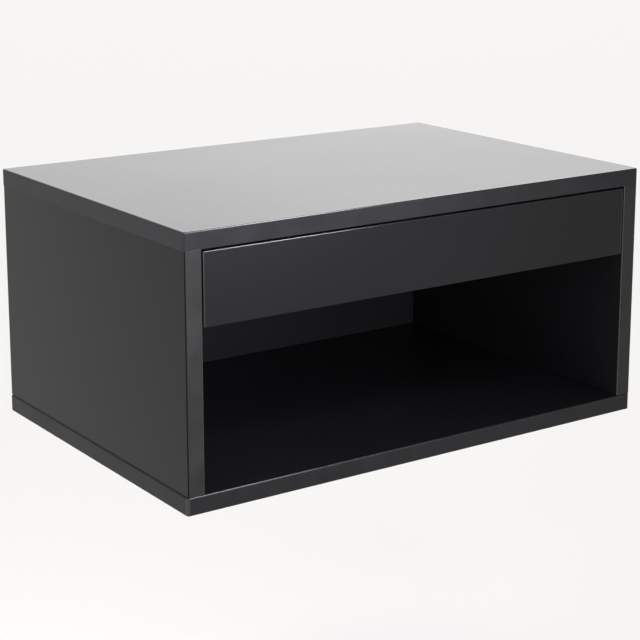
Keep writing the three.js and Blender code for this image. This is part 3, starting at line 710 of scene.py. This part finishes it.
for label, s in SIDES:
    X = lambda u: s * (IN_X - u)
    csk = [lathe([(0, -1), (4.3, -1), (4.3, 0), (2.3, 1.35), (2.3, 3), (0, 3)], "x", s, (X(1.35), y, SLIDE_Z), 32) for y in SCREW_Y]
    slots = [slot_tool("x", y, 6, 2.2, s, -1, 2) for y in (-245, -120)]
    piece(f"{label}_cabinet_channel", cut(strip(OUTER, STEEL, SLIDE_Y0, SLIDE_Y1, s), csk + slots),
          [ZINC, SHEARED], "cabinet", [f"{label}_slide_cabinet_rail"], sharp=40.0, dress=sheared)
    piece(f"{label}_middle_channel", cut(strip(MIDDLE, STEEL, SLIDE_Y0, SLIDE_TAIL, s),
                                         [rod("x", 4.5, X(1.8), X(4.6), (y, SLIDE_Z)) for y in (-290, -230, -100)]),
          [ZINC, SHEARED], f"{label}_middle_rail", [f"{label}_slide_middle_rail"], sharp=40.0, dress=sheared)
    holes = [rod("x", 2.2, X(10), X(14), (y, SLIDE_Z)) for y in SCREW_Y]
    holes += [slot_tool("x", y, 7, 2.2, s, 10, 14) for y in (-250, -190, -120)]
    piece(f"{label}_drawer_channel", cut(strip(INNER, STEEL, SLIDE_Y0, SLIDE_TAIL, s), holes),
          [ZINC, SHEARED], "drawer", [f"{label}_slide_drawer_rail"], sharp=40.0, dress=sheared)
    piece(f"{label}_outer_cage_with_balls", join(strip(CAGE_A, 0.4, CAGE_Y0, CAGE_Y1, s), balls(s, 6.2, 14.55, 1.55, 2)),
          [CAGE, BALL], f"{label}_outer_cage", [f"{label}_slide_outer_ball_cage"], sharp=40.0)
    piece(f"{label}_inner_cage_with_balls", join(strip(CAGE_B, 0.4, CAGE_Y0, CAGE_Y1, s), balls(s, 6.9, 10.0, 1.35, 2)),
          [CAGE, BALL], f"{label}_inner_cage", [f"{label}_slide_inner_ball_cage"], sharp=40.0)
    bump_lo, bump_hi = sorted((X(1.6), X(9.6)))
    piece(f"{label}_rubber_stop",
          cut(eased_box((bump_lo, SLIDE_TAIL + 0.5, SLIDE_Z - 12.5), (bump_hi, SLIDE_Y1 - 1, SLIDE_Z + 12.5), 0.6, seg=3),
              [box_between((X(4.4), SLIDE_TAIL, SLIDE_Z - 4), (X(10), SLIDE_TAIL + 4, SLIDE_Z + 4))]),
          [RUBBER], "cabinet", [f"{label}_slide_bumper"])
    for k, y in enumerate(SCREW_Y):
        fx = X(1.25)
        head = lathe([(0, 0), (3.6, 0), (3.6, 0.2), (1.75, 1.2)] + thread(1.3, 1.75, 1.6, 10.0, 1.4) + [(0.15, 12.2), (0, 12.2)],
                     "x", s, (fx, y, SLIDE_Z), 36)
        piece(f"{label}_channel_screw_{PLACES[k]}", cut(head, [
            box_between((fx - s, y - 0.4, SLIDE_Z - 1.7), (fx + s * 0.7, y + 0.4, SLIDE_Z + 1.7)),
            box_between((fx - s, y - 1.7, SLIDE_Z - 0.4), (fx + s * 0.7, y + 1.7, SLIDE_Z + 0.4))]),
              [SCREW], "cabinet", [f"{label}_cabinet_rail_screw_{PLACES[k]}"])
        piece(f"{label}_drawer_screw_{PLACES[k]}", pan_screw("x", -s, (X(INN_U - STEEL / 2 - 0.05), y, SLIDE_Z), 1.75, 11.6, 3.5, 1.9),
              [SCREW], "drawer", [f"{label}_drawer_rail_screw_{PLACES[k]}"])

# ---------------------------------------------------------------------- camera

F_PX, TH, CX, CY, CZ, PITCH, SHIFT = 1747.1, 34.621, -108.78, 540.33, 1352.21, 12.242, -0.15
th, pitch = math.radians(TH), math.radians(PITCH)
cam_x = -CX * math.cos(th) - CZ * math.sin(th) - W / 2
cam_y = CX * math.sin(th) - CZ * math.cos(th) - D
cam_z = CY - H / 2
look = Vector((math.sin(th) * math.cos(pitch), math.cos(th) * math.cos(pitch), -math.sin(pitch)))
cam_data = bpy.data.cameras.new("camera")
cam_data.sensor_width = 36.0
cam_data.lens = F_PX * 36.0 / 640.0
cam_data.shift_y = SHIFT
cam = bpy.data.objects.new("camera", cam_data)
cam.location = Vector((cam_x, cam_y, cam_z)) * MM
cam.rotation_mode = "QUATERNION"
cam.rotation_quaternion = look.to_track_quat("-Z", "Y")
SCENE.collection.objects.link(cam)
SCENE.camera = cam

# ------------------------------------------------------------- floor and light

FLOOR_Z = -0.42
FILL = 0.095
# azimuth, elevation, spread, strength
SOFT_SOURCES = ((30, 45, 8.0, 4.9), (45, 8, 14.0, 1.35), (0, 8, 14.0, 0.65), (300, 45, 8.0, 0.2), (240, 30, 4.0, 0.45))
COOL = (0.92, 0.89, 1.0)
# centre, aimed at, size, watts, colour
SOFTBOXES = {
    "softbox_near": ((-0.24, -0.75, 0.25), (-0.24, -0.34, 0.1), (0.15, 0.2), 0.26, COOL),
    "softbox_over": ((0.126, -0.67, 0.41), (-0.18, -0.34, 0.1), (0.18, 0.12), 0.62, COOL),
    "softbox_high": ((0.0, -1.1, 0.62), (-0.1, -0.34, 0.1), (0.3, 0.3), 0.50, COOL),
    "softbox_middle": ((0.10, -0.95, 0.15), (-0.1, -0.34, 0.05), (0.3, 0.3), 0.50, COOL),
    "softbox_low": ((-0.30, -0.95, 0.10), (-0.24, -0.34, 0.05), (0.2, 0.3), 0.38, COOL),
    "softbox_right": ((0.5, -1.3, 0.1), (0.1, -0.2, 0.0), (0.5, 0.4), 0.10),
    "softbox_side": ((-1.2, -0.35, 0.35), (-0.25, -0.2, 0.0), (0.5, 0.4), 0.88),
    "softbox_floor": ((0.45, -1.3, 1.5), (0.45, -1.3, -0.42), (1.2, 1.0), 0.6),
}


bm = bmesh.new()
bmesh.ops.create_grid(bm, x_segments=2, y_segments=2, size=80.0)
floor_mesh = bpy.data.meshes.new("floor")
bm.to_mesh(floor_mesh)
bm.free()
floor = bpy.data.objects.new("floor", floor_mesh)
floor.location = (0, 0, FLOOR_Z)
fm, fnt, fb = new_material("pale_floor")
fb.inputs["Base Color"].default_value = (0.87, 0.857, 0.842, 1.0)
fb.inputs["Roughness"].default_value = 0.9
fb.inputs["Specular IOR Level"].default_value = 0.1
floor_mesh.materials.append(fm)
SCENE.collection.objects.link(floor)

world = bpy.data.worlds.new("studio")
world.use_nodes = True
wnt = world.node_tree
wnt.nodes.clear()
direction = node(wnt, "ShaderNodeTexCoord").outputs["Generated"]


def soft_source(azimuth, elevation, spread, strength):
    """A broad soft source far off: azimuth is clockwise from +Y seen from
    above, and a larger spread number makes it narrower."""
    a, e = math.radians(azimuth), math.radians(elevation)
    dot = node(wnt, "ShaderNodeVectorMath", operation="DOT_PRODUCT")
    wnt.links.new(direction, dot.inputs[0])
    dot.inputs[1].default_value = (math.cos(e) * math.sin(a), math.cos(e) * math.cos(a), math.sin(e))
    fall = node(wnt, "ShaderNodeMath", operation="MULTIPLY_ADD")
    wnt.links.new(dot.outputs["Value"], fall.inputs[0])
    fall.inputs[1].default_value = spread
    fall.inputs[2].default_value = math.log(strength) - spread
    out = node(wnt, "ShaderNodeMath", operation="EXPONENT")
    wnt.links.new(fall.outputs[0], out.inputs[0])
    return out.outputs[0]


total = None
for spec in SOFT_SOURCES:
    part = soft_source(*spec)
    if total is None:
        add = node(wnt, "ShaderNodeMath", operation="ADD")
        wnt.links.new(part, add.inputs[0])
        add.inputs[1].default_value = FILL
    else:
        add = node(wnt, "ShaderNodeMath", operation="ADD")
        wnt.links.new(total, add.inputs[0])
        wnt.links.new(part, add.inputs[1])
    total = add.outputs[0]
lit = node(wnt, "ShaderNodeBackground")
lit.inputs["Color"].default_value = (1.0, 1.0, 1.0, 1.0)
wnt.links.new(total, lit.inputs["Strength"])
plain = node(wnt, "ShaderNodeBackground")
plain.inputs["Color"].default_value = (0.945, 0.938, 0.921, 1.0)
seen = node(wnt, "ShaderNodeMixShader")
wnt.links.new(node(wnt, "ShaderNodeLightPath").outputs["Is Camera Ray"], seen.inputs[0])
wnt.links.new(lit.outputs[0], seen.inputs[1])
wnt.links.new(plain.outputs[0], seen.inputs[2])
wnt.links.new(seen.outputs[0], node(wnt, "ShaderNodeOutputWorld").inputs[0])
SCENE.world = world
SCENE.view_settings.view_transform = "Standard"


def area(name, centre, target, size, energy, colour=(1, 1, 1)):
    d = bpy.data.lights.new(name, "AREA")
    d.shape = "RECTANGLE"
    d.size, d.size_y = size
    d.energy = energy
    d.spread = math.radians(95)
    d.color = colour
    o = bpy.data.objects.new(name, d)
    o.location = centre
    o.rotation_mode = "QUATERNION"
    o.rotation_quaternion = (Vector(target) - Vector(centre)).to_track_quat("-Z", "Y")
    o.visible_camera = False
    SCENE.collection.objects.link(o)
    return o


for name, spec in SOFTBOXES.items():
    area(name, *spec)
